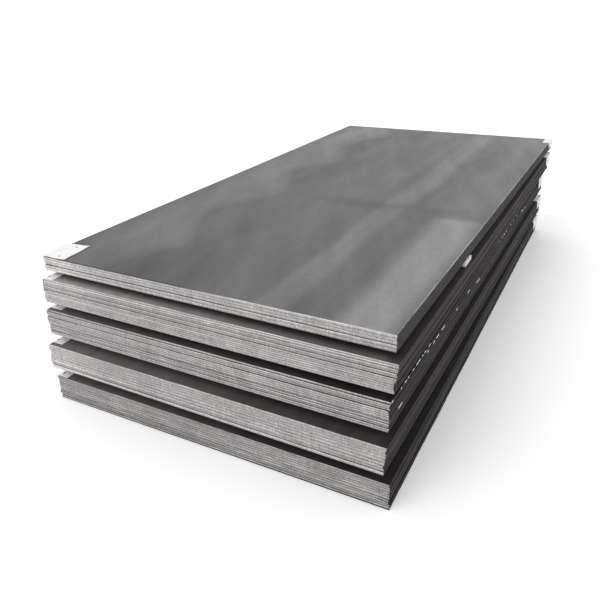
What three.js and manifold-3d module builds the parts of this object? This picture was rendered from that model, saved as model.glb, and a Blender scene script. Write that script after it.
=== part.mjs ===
// A yard stack of rolled steel plate. Five packs of plates lie one above the other, parted
// by planed timber spacers so that forks, chains and slings reach each pack, and a paper tag
// is laid on two corners of every pack. The plates of a pack were never squared up, so their
// sheared edges are ragged, the packs lean a little and some joints stand open.
// Millimetres: +X along the plates' short edges, +Y along their long edges, +Z up. The
// origin is the middle of the stack's footprint, on the floor.

import * as THREE from "three";
import { mergeVertices } from "three/addons/utils/BufferGeometryUtils.js";
import Module from "manifold-3d";

// ---------------------------------------------------------------- driving dimensions

const PLATE_WIDTH = 1500;
const PLATE_LENGTH = 3000;
const THICK_PLATE = 12;
const MIDDLE_PLATE = 10;
const THIN_PLATE = 8;

// The air between two plates that lie tight: scale and a little waviness hold them apart.
const TIGHT_JOINT = 0.125;
// How deep the joints of a pack run in from its faces, to where the plates are one solid.
const JOINT_DEPTH = 30;

// The shear rolls the upper arris of a plate and leaves the lower one nearly square.
const ROLLED_ARRIS = 1;
const SHARP_ARRIS = 0.375;

// How far one plate lies out of line with its pack, how far it is turned (degrees), and how
// far its width and length are off the nominal ones.
const RAGGED = 2.25;
const RAGGED_TURN = 0.03;
const CUT_TOLERANCE = 0.75;

// Planed timber spacers: their section, and how far their ends lie in from the packs' sides.
const SPACER_WIDTH = 94;
const BASE_SPACER_HEIGHT = 40;
const SPACER_HEIGHT = 34;
const LOW_SPACER_HEIGHT = 20;
const SPACER_END_INSET = 55;
// The spacers' distance from the middle of the plates, towards the front and the rear.
const SPACER_PITCH = 650;
const SPACER_ARRIS = 2;
// Plates and timber touch at high spots only: the clearance between their faces.
const SEAT = 0.25;
// One spacer was cut long: its end comes nearly to the right-hand side.
const LONG_SPACER_END_INSET = 8;

// Paper tags. A tag lies along the long edge of the top plate. What doesn't lie on the plate
// is folded over the edge: the fold stands off the edge, and the flap hangs a little askew.
const TAG_LENGTH = 154;
const TAG_THICKNESS = 0.5;
const FLAT_TAG_TURN = 6.5;
const FRONT_FOLD_PROUD = 4;
const REAR_FOLD_PROUD = 6;
const FLAP_LEAN = 5;

// The packs from the floor up. plate is the thickness of one plate, and centre and turn
// (degrees) are how the crane set the pack down. drift is how far the plates lie to the
// right, from the lowest to the highest. slope is how far the lowest plate lies in front of
// the highest, or behind it where negative, and twist its turn against it (degrees). open
// lists the joints that stand wide, as [joint counted from below, opening]. spacer is the
// height of the timber that carries the pack. A tag is given as [how far it lies in from the
// short edge, or out past it where negative, the width that lies on the plate, the length of
// the flap over the edge].
const PACKS = [
  {
    plates: 10,
    plate: MIDDLE_PLATE,
    centre: [-6, -20],
    turn: 0.34,
    drift: [-1, -3, -3, -2, -1, 0, 0],
    slope: 0,
    twist: 0.1,
    open: [
      [2, 1.25],
      [4, 1],
      [7, 1.75],
      [8, 1],
    ],
    spacer: 0,
    front_tag: [4, 52, 60],
    rear_tag: [20, 50, 55],
  },
  {
    plates: 9,
    plate: THICK_PLATE,
    centre: [-13, -23],
    turn: -0.06,
    drift: [-1, -6, -1, 0, 3, 1, 2],
    slope: -2,
    twist: -0.05,
    open: [[1, 1.25]],
    spacer: BASE_SPACER_HEIGHT,
    front_tag: [22, 57, 55],
    rear_tag: [15, 50, 55],
  },
  {
    plates: 14,
    plate: THIN_PLATE,
    centre: [-20, 12],
    turn: 0.12,
    drift: [0, -1, -2, -3, -3, -3, -1],
    slope: 1,
    twist: -0.1,
    open: [
      [12, 0.5],
      [13, 1],
    ],
    spacer: SPACER_HEIGHT,
    front_tag: [19, 66, 46],
    rear_tag: [22, 34, 75],
  },
  {
    plates: 13,
    plate: THIN_PLATE,
    centre: [0, 13],
    turn: 0,
    drift: [-3, -6, -5, 0, 1, 1, 1],
    slope: 2,
    twist: -0.1,
    open: [[7, 0.5]],
    spacer: SPACER_HEIGHT,
    front_tag: [0, 52, 60],
    rear_tag: [18, 50, 55],
  },
  {
    plates: 5,
    plate: THICK_PLATE,
    centre: [-11, 45],
    turn: -0.23,
    drift: [-1, 1, 1],
    slope: -4,
    twist: 0,
    open: [[2, 0.5]],
    spacer: LOW_SPACER_HEIGHT,
    front_tag: [-12, 118, 0],
    rear_tag: [-18, 38, 35],
  },
];

// Which pack, counted from the floor, has the long spacer under it, at its front.
const LONG_SPACER_PACK = 5;

// ---------------------------------------------------------------- finishes

const mill_steel = new THREE.MeshStandardMaterial({
  color: 0x7d7f82,
  roughness: 0.42,
  metalness: 0.85,
});
const planed_timber = new THREE.MeshStandardMaterial({
  color: 0xd2c6ae,
  roughness: 0.8,
  metalness: 0,
});
const tag_paper = new THREE.MeshStandardMaterial({
  color: 0xf1f1ee,
  roughness: 0.7,
  metalness: 0,
});

// ---------------------------------------------------------------- joining solids

const manifold = await Module();
manifold.setup();

function solidOf(geometry) {
  const bare = geometry.clone();
  bare.deleteAttribute("normal");
  bare.deleteAttribute("uv");
  const merged = mergeVertices(bare);
  return new manifold.Manifold(
    new manifold.Mesh({
      numProp: 3,
      vertProperties: merged.attributes.position.array,
      triVerts: new Uint32Array(merged.index.array),
    }),
  );
}

function geometryOf(solid) {
  const mesh = solid.getMesh();
  const geometry = new THREE.BufferGeometry();
  geometry.setAttribute("position", new THREE.BufferAttribute(mesh.vertProperties, 3));
  geometry.setIndex(new THREE.BufferAttribute(mesh.triVerts, 1));
  return geometry;
}

// ---------------------------------------------------------------- plates

// A repeatable number from -1 to 1 for the nth thing laid by hand.
const GOLDEN = (Math.sqrt(5) - 1) / 2;
function scatter(n) {
  return 2 * ((n * n * GOLDEN) % 1) - 1;
}

// The value at share (0 to 1) of the way along a list of evenly spaced values.
function along(values, share) {
  const place = share * (values.length - 1);
  const before = Math.min(Math.floor(place), values.length - 2);
  return THREE.MathUtils.lerp(values[before], values[before + 1], place - before);
}

// A sheared plate lying on the level 0: the upper arris rolled, the lower one left sharp.
// It is a rectangle extruded with bevels, then its lower bevel is drawn in to the sharp size.
function plateGeometry(width, length, thickness) {
  const outline = new THREE.Shape([
    new THREE.Vector2(-width / 2, -length / 2),
    new THREE.Vector2(width / 2, -length / 2),
    new THREE.Vector2(width / 2, length / 2),
    new THREE.Vector2(-width / 2, length / 2),
  ]);
  const geometry = new THREE.ExtrudeGeometry(outline, {
    depth: thickness - 2 * ROLLED_ARRIS,
    bevelThickness: ROLLED_ARRIS,
    bevelSize: ROLLED_ARRIS,
    bevelOffset: -ROLLED_ARRIS,
    bevelSegments: 2,
  });
  geometry.translate(0, 0, ROLLED_ARRIS);
  sharpenLowerArris(geometry, width, length);
  return geometry;
}

// Every point of the lower bevel keeps its share of the bevel, at the sharp arris's size.
function sharpenLowerArris(geometry, width, length) {
  const scale = SHARP_ARRIS / ROLLED_ARRIS;
  const points = geometry.attributes.position;
  for (let i = 0; i < points.count; i++) {
    if (points.getZ(i) > ROLLED_ARRIS) continue;
    points.setZ(i, points.getZ(i) * scale);
    points.setX(i, drawnTo(points.getX(i), width / 2, scale));
    points.setY(i, drawnTo(points.getY(i), length / 2, scale));
  }
}

function drawnTo(value, half, scale) {
  const edge = Math.sign(value) * half;
  return edge + (value - edge) * scale;
}

// One plate of a pack, at its place across the pack. first is a number of its own for each
// plate of the stack.
function laidPlate(pack, index, first) {
  const share = index / (pack.plates - 1);
  const geometry = plateGeometry(
    PLATE_WIDTH + CUT_TOLERANCE * scatter(first + 1),
    PLATE_LENGTH + CUT_TOLERANCE * scatter(first + 2),
    pack.plate,
  );
  const turn = (1 - share) * pack.twist + RAGGED_TURN * scatter(first + 3);
  geometry.rotateZ(THREE.MathUtils.degToRad(turn));
  const right = along(pack.drift, share) + RAGGED * scatter(first + 4);
  const rear = -(1 - share) * pack.slope + RAGGED * scatter(first + 5);
  return geometry.translate(right, rear, 0);
}

// The levels of the plates of a pack: the underside of each, and the top of the pack.
function plateLevels(pack) {
  const levels = [0];
  for (let i = 1; i < pack.plates; i++) {
    const opened = pack.open.find(([joint]) => joint === i);
    levels.push(levels[i - 1] + pack.plate + TIGHT_JOINT + (opened ? opened[1] : 0));
  }
  return { undersides: levels, top: levels[pack.plates - 1] + pack.plate };
}

// The plates' inner parts, where the joints no longer show, as one block.
function coreGeometry(pack, top) {
  const geometry = new THREE.BoxGeometry(
    PLATE_WIDTH - 2 * JOINT_DEPTH,
    PLATE_LENGTH - 2 * JOINT_DEPTH,
    top - pack.plate,
  );
  return geometry.translate(0, 0, top / 2);
}

function platesOf(pack, first) {
  const { undersides } = plateLevels(pack);
  return undersides.map((level, i) => laidPlate(pack, i, first + i * 5).translate(0, 0, level));
}

// ---------------------------------------------------------------- timber and tags

// A section drawn across X and Z, run along the axis that depthAxis names.
function runAlong(section, depth, widthAxis, depthAxis) {
  const geometry = new THREE.ExtrudeGeometry(section, { depth, bevelEnabled: false });
  const upright = new THREE.Matrix4().makeBasis(widthAxis, new THREE.Vector3(0, 0, 1), depthAxis);
  return geometry.applyMatrix4(upright);
}

// A planed batten lying on the level 0 with its length along X, its long arrises eased.
function spacerGeometry(length, height) {
  const half = SPACER_WIDTH / 2;
  const section = new THREE.Shape();
  section.moveTo(-half + SPACER_ARRIS, 0);
  section.lineTo(half - SPACER_ARRIS, 0);
  section.lineTo(half, SPACER_ARRIS);
  section.lineTo(half, height - SPACER_ARRIS);
  section.lineTo(half - SPACER_ARRIS, height);
  section.lineTo(-half + SPACER_ARRIS, height);
  section.lineTo(-half, height - SPACER_ARRIS);
  section.lineTo(-half, SPACER_ARRIS);
  const geometry = runAlong(
    section,
    length,
    new THREE.Vector3(0, 1, 0),
    new THREE.Vector3(1, 0, 0),
  );
  return geometry.translate(-length / 2, 0, 0);
}

// A tag folded over a long edge that runs along Y through the origin, with the plate on the
// -X side of it. The tag reaches from y = 0 back to y = -TAG_LENGTH.
function foldedTagGeometry(lap, flap, proud) {
  const section = new THREE.Shape();
  section.moveTo(-lap, 0);
  section.lineTo(proud, 0);
  section.lineTo(proud + FLAP_LEAN, -flap);
  section.lineTo(proud + FLAP_LEAN + TAG_THICKNESS, -flap);
  section.lineTo(proud + TAG_THICKNESS, TAG_THICKNESS);
  section.lineTo(-lap, TAG_THICKNESS);
  return runAlong(
    section,
    TAG_LENGTH,
    new THREE.Vector3(1, 0, 0),
    new THREE.Vector3(0, -1, 0),
  );
}

// A tag that lies flat on the plate, with the same long edge as a folded one.
function flatTagGeometry(width) {
  const geometry = new THREE.BoxGeometry(width, TAG_LENGTH, TAG_THICKNESS);
  return geometry.translate(-width / 2, -TAG_LENGTH / 2, TAG_THICKNESS / 2);
}

// ---------------------------------------------------------------- the stack

const stack = new THREE.Group();

function addMesh(parent, name, geometry, material) {
  const mesh = new THREE.Mesh(geometry, material);
  mesh.name = name;
  parent.add(mesh);
  return mesh;
}

// The plates of the top pack are solids of their own. Those of a lower pack are one solid,
// with the joints between them cut into its four faces.
function addPlates(group, pack, number, first) {
  const plates = platesOf(pack, first);
  if (number === PACKS.length) {
    plates.forEach((plate, i) => addMesh(group, `pack_${number}_plate_${i + 1}`, plate, mill_steel));
    return;
  }
  const core = solidOf(coreGeometry(pack, plateLevels(pack).top));
  const whole = plates.reduce((joined, plate) => joined.add(solidOf(plate)), core);
  addMesh(group, `pack_${number}`, geometryOf(whole), mill_steel);
}

// Three spacers on a pack carry the next one.
function addSpacers(group, number, level, height) {
  const plain = PLATE_WIDTH - 2 * SPACER_END_INSET;
  ["front", "middle", "rear"].forEach((place, i) => {
    const isLong = number + 1 === LONG_SPACER_PACK && place === "front";
    const length = isLong ? plain + SPACER_END_INSET : plain;
    const right = isLong
      ? PLATE_WIDTH / 2 - LONG_SPACER_END_INSET - length / 2
      : (SPACER_END_INSET / 3) * scatter(10 * number + i);
    const rear = (i - 1) * SPACER_PITCH + (SPACER_WIDTH / 6) * scatter(20 * number + i);
    const spacer = addMesh(
      group,
      `spacer_${number}_${place}`,
      spacerGeometry(length, height),
      planed_timber,
    );
    spacer.position.set(right, rear, level + SEAT);
  });
}

// One tag is laid on the front left corner of a pack and another on its rear right corner.
function addTags(group, number, level, pack) {
  const [frontInset, frontLap, frontFlap] = pack.front_tag;
  const isFlat = frontFlap === 0;
  const front = addMesh(
    group,
    `tag_${number}_front`,
    isFlat ? flatTagGeometry(frontLap) : foldedTagGeometry(frontLap, frontFlap, FRONT_FOLD_PROUD),
    tag_paper,
  );
  front.rotation.z = THREE.MathUtils.degToRad(180 + (isFlat ? FLAT_TAG_TURN : 0));
  front.position.set(-PLATE_WIDTH / 2, -PLATE_LENGTH / 2 + frontInset, level + SEAT);

  const [rearInset, rearLap, rearFlap] = pack.rear_tag;
  const rear = addMesh(
    group,
    `tag_${number}_rear`,
    foldedTagGeometry(rearLap, rearFlap, REAR_FOLD_PROUD),
    tag_paper,
  );
  rear.position.set(PLATE_WIDTH / 2, PLATE_LENGTH / 2 - rearInset, level + SEAT);
}

let level = 0;
let first = 1;
PACKS.forEach((pack, i) => {
  const number = i + 1;
  const group = new THREE.Group();
  group.position.set(pack.centre[0], pack.centre[1], level);
  group.rotation.z = THREE.MathUtils.degToRad(pack.turn);
  stack.add(group);

  const { top } = plateLevels(pack);
  addPlates(group, pack, number, first);
  addTags(group, number, top, pack);
  if (number < PACKS.length) {
    const height = PACKS[i + 1].spacer;
    addSpacers(group, number, top, height);
    level += top + height + 2 * SEAT;
  }
  first += 5 * pack.plates;
});

// The stack stands with the middle of its footprint over the origin.
const footprint = new THREE.Box3().setFromObject(stack, true);
const middle = footprint.getCenter(new THREE.Vector3());
stack.position.set(-middle.x, -middle.y, 0);

const part = new THREE.Group();
part.add(stack);
export default part;
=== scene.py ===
# A yard stack of hot rolled steel plate: five packs of plates, one above the other, on planed
# timber spacers, with a blank paper tag on two corners of each pack. Metres, in the frame of
# the CAD part: +X along the short edges of the plates, +Y along their long edges, +Z up.

import math
import random
from collections import namedtuple

import bpy
from mathutils import Matrix, Vector, noise


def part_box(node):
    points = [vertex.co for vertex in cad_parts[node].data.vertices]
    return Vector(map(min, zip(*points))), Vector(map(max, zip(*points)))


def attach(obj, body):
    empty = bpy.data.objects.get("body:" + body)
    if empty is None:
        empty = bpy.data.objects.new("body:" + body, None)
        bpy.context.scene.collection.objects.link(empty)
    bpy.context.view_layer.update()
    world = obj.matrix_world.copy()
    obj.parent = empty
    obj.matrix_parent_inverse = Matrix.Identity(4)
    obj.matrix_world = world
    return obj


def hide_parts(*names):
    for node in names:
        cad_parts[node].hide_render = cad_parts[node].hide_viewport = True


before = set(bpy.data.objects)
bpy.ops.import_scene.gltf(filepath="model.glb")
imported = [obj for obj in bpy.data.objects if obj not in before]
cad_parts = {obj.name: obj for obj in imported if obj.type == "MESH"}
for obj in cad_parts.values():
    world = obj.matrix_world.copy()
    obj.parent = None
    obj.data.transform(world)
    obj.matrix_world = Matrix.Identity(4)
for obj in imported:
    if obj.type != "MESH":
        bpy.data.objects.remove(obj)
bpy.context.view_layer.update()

# ------------------------------------------------------------------ the lowest pack
# Ten hot rolled plates of 10 mm, set down one on another by the crane, each a little out of line
# and held by its weight alone. The shear has cropped the short ends bright, the long edges and
# the faces keep their scale from the mill, and painted shade darkens the foot of the lowest
# plate's end, for the contact shadow under the stack.

SAME_LEVEL = 0.00002
FRONT_LEFT_FIRST = ((-1, -1), (1, -1), (1, 1), (-1, 1))


def nodes_called(start):
    return [name for name in sorted(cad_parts) if name.startswith(start)]


def solid_points(node):
    return [vertex.co.copy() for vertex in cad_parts[node].data.vertices]


def farthest(points, right, rear):
    return max(points, key=lambda point: right * point.x + rear * point.y)


def plates_in(node, thickness):
    """Each plate that a pack's solid holds, lowest first: its corners, round from the front
    left one, and the height of its underside."""
    points = solid_points(node)
    levels = sorted({round(point.z, 6) for point in points})
    underside = levels[0]
    found = []
    while underside is not None:
        top = underside + thickness
        inside = [p for p in points if underside - SAME_LEVEL < p.z < top + SAME_LEVEL]
        corners = [farthest(inside, *way) for way in FRONT_LEFT_FIRST]
        found.append(([Vector((c.x, c.y, 0)) for c in corners], underside))
        underside = next((level for level in levels if level > top + SAME_LEVEL), None)
    return found


# The outline: its sides in order, the step between its points, and how far from a corner an
# edge starts to wave. Waves are a height and a length from crest to crest: an end follows the
# shear and a long edge the mill.
FRONT, RIGHT, REAR = 0, 1, 2
ENDS = (FRONT, REAR)
RIM_STEP = 0.018
SQUARE_CORNER = 0.030
END_WAVES = ((0.0005, 0.7), (0.0003, 0.11), (0.00015, 0.035))
EDGE_WAVES = ((0.0014, 0.8), (0.0007, 0.19), (0.0002, 0.05))

# The upper arris, which the shear rolls over and the handling wears, and how uneven it is.
END_ARRIS = 0.0011
EDGE_ARRIS = 0.0005
ARRIS_SPREAD = 0.9
ARRIS_PATCH = 0.06
# How far a painted glint on a right edge fades at each end.
PAINTED_GLINT_FADE = 0.002

Column = namedtuple("Column", "place out arris side run")


def edge_wave(run, seed, is_end):
    """How far an edge stands outside a straight line, this far along it."""
    return sum(
        height * noise.noise((run / pitch, seed * 3.7 + pitch * 90, 0.5))
        for height, pitch in (END_WAVES if is_end else EDGE_WAVES)
    )


def arris_at(run, seed, is_end):
    """The radius of the upper arris, this far along an edge."""
    uneven = ARRIS_SPREAD * noise.noise((run / ARRIS_PATCH, seed * 5.3, 7.5))
    return (END_ARRIS if is_end else EDGE_ARRIS) * (1 + uneven)


def rim_columns(corners, seed, knocks):
    """The points round a plate: each one's place, way out, arris, side and run along the side."""
    columns = []
    for side in range(4):
        before, start, end = corners[side - 1], corners[side], corners[(side + 1) % 4]
        length = (end - start).length
        ahead = (end - start) / length
        out = Vector((ahead.y, -ahead.x, 0))
        came = (start - before).normalized()
        corner_out = out + Vector((came.y, -came.x, 0))
        count = round(length / RIM_STEP)
        runs = [length * i / count for i in range(count)]
        if side == RIGHT:
            for middle, half in knocks:
                for reach in (half, half + PAINTED_GLINT_FADE):
                    runs += [middle - reach, middle + reach]
        is_end = side in ENDS
        for run in sorted({round(run, 4) for run in runs if run >= 0}):
            fade = min(1, min(run, length - run) / SQUARE_CORNER)
            stand = edge_wave(run, seed + side, is_end) * fade
            columns.append(Column(
                start + ahead * run + out * stand,
                corner_out if run == 0 else out,
                arris_at(run, seed + side, is_end),
                side,
                run,
            ))
    return columns


# The section of a rim, from the upper face down: a strip of the face, the arris in four steps,
# the smooth band that the blade struck, the torn band that leans in, and a strip underneath.
BORDER = 0.007
FACE_PAST_ARRIS = 1.1
ARRIS_TURNS = (0, 30, 60, 90)
STRUCK_DOWN_TO = 0.0030
SMOOTH_SHARE = 0.5
TORN_LEAN = 0.0004
TORN_TOP_LEAN = 0.6 * TORN_LEAN
TORN_ARRIS = 0.0003
JOINT_SHADE = 0.0028
FACE_ROW, ARRIS_TOP, ARRIS_FOOT, STRUCK_ROW, TORN_ROW = 1, 2, 5, 6, 8
WORN_FLANK = 0.6
# How much of the lowest plate's painted shade reaches up onto its smooth band.
GROUND_SHADE_ON_BAND = 0.6

Row = namedtuple("Row", "inset height wear smooth joint")


def rim_rows(thickness, arris, is_soiled):
    """The rows of a section: how far in and up each lies, how worn and how smoothly cut it is,
    and how much painted shade it takes: near a joint, and at the foot of the lowest plate's end,
    for the contact shadow under the stack."""
    rows = [Row(inset, thickness, 0.0, 1.0, 0.0) for inset in (BORDER, arris * FACE_PAST_ARRIS)]
    for angle in ARRIS_TURNS:
        turn = math.radians(angle)
        inset, drop = arris * (1 - math.sin(turn)), arris * (1 - math.cos(turn))
        wear = 1.0 if 0 < angle < 90 else WORN_FLANK
        rows.append(Row(inset, thickness - drop, wear, 1.0, 0.0))
    # The lowest plate's end takes painted shade at its foot, for the contact shadow under the
    # stack.
    ground_shade = 1.0 if is_soiled else 0.0
    return rows + [
        Row(0, thickness - STRUCK_DOWN_TO, 0.0, 1.0, 0.0),
        Row(0, thickness * (1 - SMOOTH_SHARE), 0.0, 1.0, GROUND_SHADE_ON_BAND * ground_shade),
        Row(TORN_TOP_LEAN, JOINT_SHADE, 0.0, 0.0, ground_shade),
        Row(TORN_LEAN, TORN_ARRIS, 0.0, 0.0, 1.0),
        Row(TORN_LEAN + TORN_ARRIS, 0, 0.0, 0.0, 1.0),
        Row(BORDER, 0, 0.0, 0.0, 1.0),
    ]


def mesh_piece(name, points, faces, smooth, finishes):
    """A mesh in the scene. smooth and finishes say how each face is shaded and which of the
    piece's materials it has."""
    mesh = bpy.data.meshes.new(name)
    mesh.from_pydata(points, [], faces)
    mesh.polygons.foreach_set("use_smooth", smooth)
    mesh.polygons.foreach_set("material_index", finishes)
    mesh.update()
    piece = bpy.data.objects.new(name, mesh)
    bpy.context.collection.objects.link(piece)
    return piece


# A plate's three materials, and how far the tone of its ends and the depth of its joints vary.
SCALE_FACE, CUT_END, MILL_EDGE = 0, 1, 2
ODD_TONES = (0.95, 1.05)
ODD_JOINTS = (0.6, 1.15)
DARKEST_JOINT = 0.95
SAME_RUN = 0.0001
# From this much rubbing up, a plate's end takes a painted highlight, which fades this fast to the
# right.
PAINTED_HIGHLIGHT_FROM = 1
HIGHLIGHT_FADE = 1.4
# How far across the top plate's front arris its painted shade reaches, and how sharply it ends.
ARRIS_SHADE_REACH = 0.62
ARRIS_SHADE_FADE = 6

# tones and joints are the brightness of the cut ends and the depth of the painted shade in their
# joints, at the left and at the right. The pack is left_gain brighter at its far left. The spots
# listed for the right edge are painted glints: how far from the front each one is and half its
# length.
Look = namedtuple("Look", "tones joints left_gain scale_tone rubbed knocks is_soiled is_top")


def between(ends, share):
    return ends[0] + (ends[1] - ends[0]) * share


def wear_and_highlight_at(row, column, share, wear, look):
    """How worn a point is, with painted highlights: the top plate's right arris has a painted
    highlight on its face too, and a plate rubbed more than most has a painted highlight further
    down its end, strongest at the left."""
    if look.is_top and column.side == RIGHT and row == FACE_ROW:
        return 1.0
    if look.rubbed >= PAINTED_HIGHLIGHT_FROM and column.side == FRONT and row == STRUCK_ROW:
        return max(0.0, 1.0 - HIGHLIGHT_FADE * share)
    return wear


def painted_arris_shade_at(row, column, share, look):
    """How much painted shade lies on the top plate's front arris: all along its left part."""
    if look.is_top and column.side == FRONT and FACE_ROW <= row <= ARRIS_FOOT:
        return max(0.0, min(1.0, ARRIS_SHADE_FADE * (ARRIS_SHADE_REACH - share)))
    return 0.0


def painted_glint_at(row, column, look):
    """Whether a point lies in a painted glint, which reaches from the arris down into the torn
    band.
    """
    is_painted_glint = column.side == RIGHT and any(
        abs(column.run - middle) < half + SAME_RUN for middle, half in look.knocks)
    return 1.0 if is_painted_glint and ARRIS_TOP <= row <= TORN_ROW else 0.0


def rolled_plate(name, corners, underside, thickness, seed, look):
    """One plate, as a closed mesh. Its points carry what its finishes need to know of them."""
    columns = rim_columns(corners, seed, look.knocks)
    count = len(columns)
    sections = [rim_rows(thickness, column.arris, look.is_soiled) for column in columns]
    height = len(sections[0])
    left, width = corners[0].x, corners[1].x - corners[0].x
    odd = random.Random(seed)
    odd_tone, odd_joint = odd.uniform(*ODD_TONES), odd.uniform(*ODD_JOINTS)
    points = []
    marks = {mark: [] for mark in ("worn_and_highlit", "smooth_cut", "painted_glint", "painted_arris_shade", "cut_tone")}
    for row in range(height):
        for column, section in zip(columns, sections):
            here = section[row]
            up = Vector((0, 0, underside + here.height))
            points.append(column.place - column.out * here.inset + up)
            share = (column.place.x - left) / width
            # The painted shade in the joints, and at the foot of the lowest plate, darkens the
            # end's tone.
            shade = between(look.joints, share) * odd_joint * here.joint
            tone = between(look.tones, share) * odd_tone * (1 - min(DARKEST_JOINT, shade))
            marks["worn_and_highlit"].append(wear_and_highlight_at(row, column, share, here.wear, look))
            marks["smooth_cut"].append(here.smooth)
            marks["painted_glint"].append(painted_glint_at(row, column, look))
            marks["painted_arris_shade"].append(painted_arris_shade_at(row, column, share, look))
            marks["cut_tone"].append(tone)
    for mark in ("left_gain", "scale_tone", "rubbed"):
        marks[mark] = [getattr(look, mark)] * len(points)

    faces, finishes = [], []
    for row in range(height - 1):
        is_rim = FACE_ROW <= row < height - 2
        for i in range(count):
            j = (i + 1) % count
            here, below = row * count, (row + 1) * count
            faces.append((here + i, below + i, below + j, here + j))
            side_finish = CUT_END if columns[i].side in ENDS else MILL_EDGE
            finishes.append(side_finish if is_rim else SCALE_FACE)
    faces.append(tuple(range(count)))
    faces.append(tuple(reversed(range((height - 1) * count, height * count))))
    finishes += [SCALE_FACE, SCALE_FACE]

    plate = mesh_piece(name, points, faces, [True] * len(faces), finishes)
    turns = {i for i in range(count) if columns[i].run == 0}
    for edge in plate.data.edges:
        first, second = edge.vertices
        edge.use_edge_sharp = first % count == second % count and first % count in turns
    for mark, values in marks.items():
        layer = plate.data.attributes.new(mark, "FLOAT", "POINT")
        layer.data.foreach_set("value", values)
    return plate


def blank_finish(name):
    """A material with one shader: returns the material, its node tree and the shader."""
    material = bpy.data.materials.new(name)
    material.use_nodes = True
    tree = material.node_tree
    tree.nodes.clear()
    shader = tree.nodes.new("ShaderNodeBsdfPrincipled")
    output = tree.nodes.new("ShaderNodeOutputMaterial")
    tree.links.new(shader.outputs["BSDF"], output.inputs["Surface"])
    return material, tree, shader


def feed(tree, node, inputs):
    """Sets a node's inputs. Each is a plain value or another node's output."""
    for socket, value in inputs.items():
        if isinstance(value, bpy.types.NodeSocket):
            tree.links.new(value, node.inputs[socket])
        else:
            node.inputs[socket].default_value = value


def place(tree, kind, inputs=None, **settings):
    """Puts a node into a tree."""
    node = tree.nodes.new("ShaderNode" + kind)
    for setting, value in settings.items():
        setattr(node, setting, value)
    feed(tree, node, inputs or {})
    return node


def worked(tree, operation, *values):
    """The result of a sum on values, such as SUBTRACT or COSINE."""
    return place(tree, "Math", dict(enumerate(values)), operation=operation).outputs[0]


def sum_of(tree, first, *others):
    for other in others:
        first = worked(tree, "ADD", first, other)
    return first


def times(tree, first, *others):
    for other in others:
        first = worked(tree, "MULTIPLY", first, other)
    return first


def eased(tree, value, low, high, to_low=0.0, to_high=1.0):
    """A value between low and high, carried smoothly to the range from to_low to to_high."""
    inputs = {0: value, 1: low, 2: high, 3: to_low, 4: to_high}
    return place(tree, "MapRange", inputs, interpolation_type="SMOOTHSTEP").outputs[0]


def carried(tree, value, to_low, to_high):
    """A mask from 0 to 1, carried smoothly to the range from to_low to to_high."""
    return eased(tree, value, 0.0, 1.0, to_low, to_high)


NOISE_REACH = (0.25, 0.75)


def speckle(tree, vector, size, detail=2.0, contrast=(0.0, 1.0)):
    """Noise whose features are this size along X, Y and Z, carried to the range contrast."""
    scale = [1 / length for length in size]
    scaled = place(tree, "VectorMath", {0: vector, 1: scale}, operation="MULTIPLY").outputs[0]
    texture = place(tree, "TexNoise", {"Vector": scaled, "Scale": 1.0, "Detail": detail})
    return eased(tree, texture.outputs["Fac"], *NOISE_REACH, *contrast)


def mixed(tree, share, first, second):
    """A mix of two colours."""
    return place(tree, "Mix", {0: share, 6: first, 7: second}, data_type="RGBA").outputs[2]


def mixed_value(tree, share, first, second):
    return place(tree, "Mix", {0: share, 2: first, 3: second}, data_type="FLOAT").outputs[0]


def grey(tree, tone, tint):
    """A tone as a colour with a faint tint."""
    combined = place(tree, "CombineColor", {0: tone, 1: tone, 2: tone}).outputs[0]
    tinted = {0: 1.0, 6: combined, 7: (*tint, 1.0)}
    return place(tree, "Mix", tinted, data_type="RGBA", blend_type="MULTIPLY").outputs[2]


def attribute(tree, name):
    """What the points of a plate say under this name."""
    return place(tree, "Attribute", attribute_name=name).outputs["Fac"]


def position(tree):
    return place(tree, "TexCoord").outputs["Object"]


def axes_of(tree, where):
    """A place's X, Y and Z."""
    return place(tree, "SeparateXYZ", {0: where}).outputs


def bumped(tree, height, depth):
    return place(tree, "Bump", {"Height": height, "Distance": depth}).outputs["Normal"]


def new_group(name, inputs, outputs):
    """An effect for several finishes: its node tree, what comes into it and what goes out."""
    tree = bpy.data.node_groups.new(name, "ShaderNodeTree")
    for way, sockets in (("INPUT", inputs), ("OUTPUT", outputs)):
        for socket, kind in sockets:
            tree.interface.new_socket(socket, in_out=way, socket_type="NodeSocket" + kind)
    return tree, tree.nodes.new("NodeGroupInput"), tree.nodes.new("NodeGroupOutput")


def use_group(tree, group, inputs):
    node = tree.nodes.new("ShaderNodeGroup")
    node.node_tree = group
    feed(tree, node, inputs)
    return node


# Handling rubs the scale off the arrises in patches with nicks among them, and the same mask
# lays the painted highlights that a plate's points ask for.
RUB_PATCH = (0.09, 0.12, 0.05)
RUB_NICK = (0.008, 0.011, 0.008)
RUB_BREAK = (0.75, 1.25)

rubbed_and_highlit_arris, rub_in, rub_out = new_group(
    "rubbed_and_highlit_arris",
    [("Position", "Vector"), ("Worn and highlit", "Float"), ("Amount", "Float")],
    [("Mask", "Float")],
)
rub_patches = speckle(rubbed_and_highlit_arris, rub_in.outputs["Position"], RUB_PATCH, 3.0)
rub_nicks = speckle(rubbed_and_highlit_arris, rub_in.outputs["Position"], RUB_NICK)
broken = sum_of(
    rubbed_and_highlit_arris, times(rubbed_and_highlit_arris, rub_patches, 0.7), times(rubbed_and_highlit_arris, rub_nicks, 0.3))
reach = times(rubbed_and_highlit_arris, rub_in.outputs["Worn and highlit"], rub_in.outputs["Amount"])
rub_and_highlight_mask = eased(rubbed_and_highlit_arris, sum_of(rubbed_and_highlit_arris, broken, reach), *RUB_BREAK)
rub_and_highlight_mask = times(rubbed_and_highlit_arris, rub_and_highlight_mask, rub_in.outputs["Worn and highlit"])
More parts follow.
